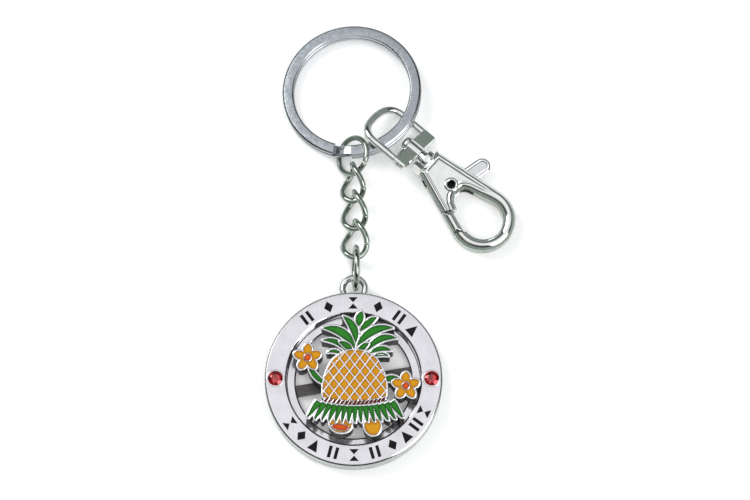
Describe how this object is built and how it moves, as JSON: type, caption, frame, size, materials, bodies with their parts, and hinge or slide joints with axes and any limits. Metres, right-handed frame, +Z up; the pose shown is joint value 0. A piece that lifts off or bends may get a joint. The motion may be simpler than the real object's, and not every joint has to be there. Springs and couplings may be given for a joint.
{
  "type": "keychain",
  "caption": "Keychain with a flat split ring, a short chain to a round medallion whose enamelled fruit emblem spins, and a swivelling snap hook.",
  "frame": {"origin": "under the middle of the whole keychain, on the surface it lies on", "axes": "+Y from the medallion along the chain to the split ring, +X towards the snap hook, +Z up out of the medallion's front face"},
  "size_m": [0.057, 0.1052, 0.0108],
  "materials": {
    "ring_steel": "nickel-plated flat steel wire, satin rolled flats",
    "wire_nickel": "bright nickel-plated wire",
    "medallion_silver": "bright silver-plated zinc casting",
    "clasp_nickel": "polished nickel-plated zinc casting",
    "dark_metal": "dull dark nickel strip",
    "spring_steel": "plain spring wire",
    "black_enamel": "black enamel fill",
    "green_enamel": "glossy green enamel",
    "fruit_enamel": "glossy orange enamel",
    "orange_red_enamel": "glossy orange-red enamel",
    "dark_red_enamel": "glossy dark red enamel",
    "rhinestone": "ruby red faceted stone with a foiled back"
  },
  "bodies": {
    "split_ring": {"split_ring": "ring_steel"},
    "upper_ring": {"upper_ring": "wire_nickel"},
    "chain_link_1": {"chain_link_1": "wire_nickel"},
    "chain_link_2": {"chain_link_2": "wire_nickel"},
    "chain_link_3": {"chain_link_3": "wire_nickel"},
    "lower_ring": {"lower_ring": "wire_nickel"},
    "medallion": {"medallion_frame": "medallion_silver", "upper_mark_enamel": "black_enamel", "lower_mark_enamel": "black_enamel", "rhinestone_left": "rhinestone", "rhinestone_right": "rhinestone", "spinner_bar": "dark_metal"},
    "emblem": {"emblem_casting": "medallion_silver", "spinner_retainer": "medallion_silver", "fruit_enamel": "fruit_enamel", "leaf_enamel": "green_enamel", "rope_enamel": "dark_red_enamel", "frond_enamel": "green_enamel", "blossom_enamel": "fruit_enamel", "small_fruit_enamel": "fruit_enamel", "slice_enamel": "orange_red_enamel"},
    "swivel_eye": {"swivel_eye": "clasp_nickel"},
    "hook": {"hook_body": "clasp_nickel", "hook_rivet": "clasp_nickel", "lever_spring": "spring_steel"},
    "lever": {"hook_lever": "clasp_nickel"}
  },
  "joints": [
    {"name": "upper_ring_swing", "type": "hinge", "parent": "split_ring", "child": "upper_ring", "pos_m": [-0.00884, 0.02184, 0.0033], "axis": [1, 0, 0], "range_deg": [-12, 35]},
    {"name": "link_1_swing", "type": "hinge", "parent": "upper_ring", "child": "chain_link_1", "pos_m": [-0.00884, 0.01664, 0.0036], "axis": [0, 0, 1], "range_deg": [-20, 20]},
    {"name": "link_2_swing", "type": "hinge", "parent": "chain_link_1", "child": "chain_link_2", "pos_m": [-0.00864, 0.01014, 0.0042], "axis": [-1, 0, 0], "range_deg": [-30, 30]},
    {"name": "link_3_swing", "type": "hinge", "parent": "chain_link_2", "child": "chain_link_3", "pos_m": [-0.00824, 0.00444, 0.0036], "axis": [0, 0, -1], "range_deg": [-25, 25]},
    {"name": "lower_ring_swing", "type": "hinge", "parent": "chain_link_3", "child": "lower_ring", "pos_m": [-0.00812, -0.00696, 0.00541], "axis": [0.9976, 0, -0.0698], "range_deg": [-45, 45]},
    {"name": "medallion_swing", "type": "hinge", "parent": "lower_ring", "child": "medallion", "pos_m": [-0.00814, -0.00846, 0.0044], "axis": [-1, 0, 0], "range_deg": [-60, 8]},
    {"name": "emblem_spin", "type": "hinge", "parent": "medallion", "child": "emblem", "pos_m": [-0.00854, -0.03256, 0.003], "axis": [0, 0, 1], "continuous": true},
    {"name": "eye_swing", "type": "hinge", "parent": "split_ring", "child": "swivel_eye", "pos_m": [0.00086, 0.02644, 0.0045], "axis": [0.7071, 0.7071, 0], "range_deg": [-8, 40]},
    {"name": "hook_swivel", "type": "hinge", "parent": "swivel_eye", "child": "hook", "pos_m": [0.00794, 0.01964, 0.0037], "axis": [0.7582, -0.6499, -0.0523], "continuous": true},
    {"name": "lever_open", "type": "hinge", "parent": "hook", "child": "lever", "pos_m": [0.01369, 0.013, 0.00325], "axis": [0.0397, -0.0341, 0.9986], "range_deg": [0, 28], "stiffness_Nm_per_rad": 0.004, "springref_deg": -20.05}
  ]
}
